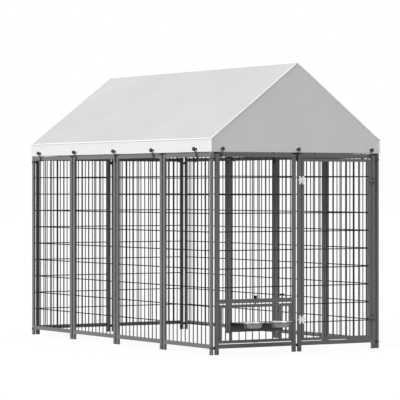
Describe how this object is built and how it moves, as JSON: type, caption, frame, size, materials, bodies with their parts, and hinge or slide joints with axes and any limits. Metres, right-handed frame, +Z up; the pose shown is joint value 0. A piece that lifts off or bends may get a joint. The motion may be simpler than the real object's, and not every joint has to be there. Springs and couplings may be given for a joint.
{
  "type": "dog_kennel_run",
  "caption": "Outdoor dog kennel run of welded wire panels with a hinged door, a turning two-bowl feeder and a tied-down gable roof cover.",
  "frame": {"origin": "centre of the bounding box, on the ground", "axes": "+Z up, the door end faces -Y, +X to its right seen from the front, +Y along the run"},
  "size_m": [1.3242, 2.6431, 1.806],
  "materials": {
    "graphite_coating": "satin powder coat on welded steel",
    "shelf_coating": "satin powder coat on steel sheet",
    "black_plastic": "moulded",
    "dark_bolt_steel": "blackened steel",
    "bright_zinc": "bright zinc plate",
    "stainless_steel": "spun and polished",
    "galvanised_tube": "dull galvanised",
    "cover_sheet": "woven and coated sheet",
    "elastic_cord": "braided sleeve"
  },
  "bodies": {
    "kennel": {"left_panel_1": "graphite_coating", "left_panel_2": "graphite_coating", "left_panel_3": "graphite_coating", "left_panel_4": "graphite_coating", "right_panel_1": "graphite_coating", "right_panel_2": "graphite_coating", "right_panel_3": "graphite_coating", "right_panel_4": "graphite_coating", "rear_panel_left": "graphite_coating", "rear_panel_right": "graphite_coating", "feeder_panel": "graphite_coating", "door_panel_frame": "graphite_coating", "post_caps": "black_plastic", "foot_plugs": "black_plastic", "joint_studs": "dark_bolt_steel", "corner_bolts": "dark_bolt_steel", "corner_spacers": "dark_bolt_steel", "hinge_post_leaves": "bright_zinc", "hinge_pins": "bright_zinc", "hinge_post_screws": "bright_zinc", "latch_keepers": "graphite_coating", "latch_keeper_screws": "dark_bolt_steel", "feeder_pivot_bolt": "black_plastic", "feeder_pivot_pin": "dark_bolt_steel", "feeder_thrust_washer": "bright_zinc", "feeder_lock_sleeve": "black_plastic", "rafter_front_left": "galvanised_tube", "rafter_front_right": "galvanised_tube", "rafter_middle_left": "galvanised_tube", "rafter_middle_right": "galvanised_tube", "rafter_rear_left": "galvanised_tube", "rafter_rear_right": "galvanised_tube", "ridge_tube_front": "galvanised_tube", "ridge_tube_rear": "galvanised_tube", "eave_tube_left_front": "galvanised_tube", "eave_tube_left_rear": "galvanised_tube", "eave_tube_right_front": "galvanised_tube", "eave_tube_right_rear": "galvanised_tube", "ridge_brackets": "galvanised_tube", "ridge_bolts": "galvanised_tube", "roof_cover": "cover_sheet", "grommets": "bright_zinc", "bungee_balls": "black_plastic", "bungee_cords": "elastic_cord"},
    "door": {"door_leaf": "graphite_coating", "hinge_door_leaves": "bright_zinc", "hinge_door_screws": "bright_zinc", "latch_housings": "graphite_coating", "latch_housing_screws": "dark_bolt_steel"},
    "upper_latch": {"upper_latch_bolt": "graphite_coating"},
    "lower_latch": {"lower_latch_bolt": "graphite_coating"},
    "feeder": {"feeder_frame": "graphite_coating", "feeder_shelf": "shelf_coating", "feeder_shelf_bolts": "dark_bolt_steel"},
    "feeder_lock": {"feeder_lock_pin": "black_plastic"},
    "left_bowl": {"bowl_left": "stainless_steel"},
    "right_bowl": {"bowl_right": "stainless_steel"}
  },
  "joints": [
    {"name": "door_swing", "type": "hinge", "parent": "kennel", "child": "door", "pos_m": [0.035, -1.12605, 0.636], "axis": [0, 0, -1], "range_deg": [0, 110]},
    {"name": "upper_latch_slide", "type": "slide", "parent": "door", "child": "upper_latch", "axis": [1, 0, 0], "range_m": [0, 0.014]},
    {"name": "lower_latch_slide", "type": "slide", "parent": "door", "child": "lower_latch", "axis": [1, 0, 0], "range_m": [0, 0.014]},
    {"name": "feeder_turn", "type": "hinge", "parent": "kennel", "child": "feeder", "pos_m": [-0.303, -1.11505, 0.186], "axis": [0, 0, 1], "range_deg": [0, 180]},
    {"name": "feeder_lock_slide", "type": "slide", "parent": "kennel", "child": "feeder_lock", "axis": [0, 0, -1], "range_m": [0, 0.012]},
    {"name": "left_bowl_lift", "type": "slide", "parent": "feeder", "child": "left_bowl", "axis": [0, 0, 1], "range_m": [0, 0.08]},
    {"name": "right_bowl_lift", "type": "slide", "parent": "feeder", "child": "right_bowl", "axis": [0, 0, 1], "range_m": [0, 0.08]}
  ]
}
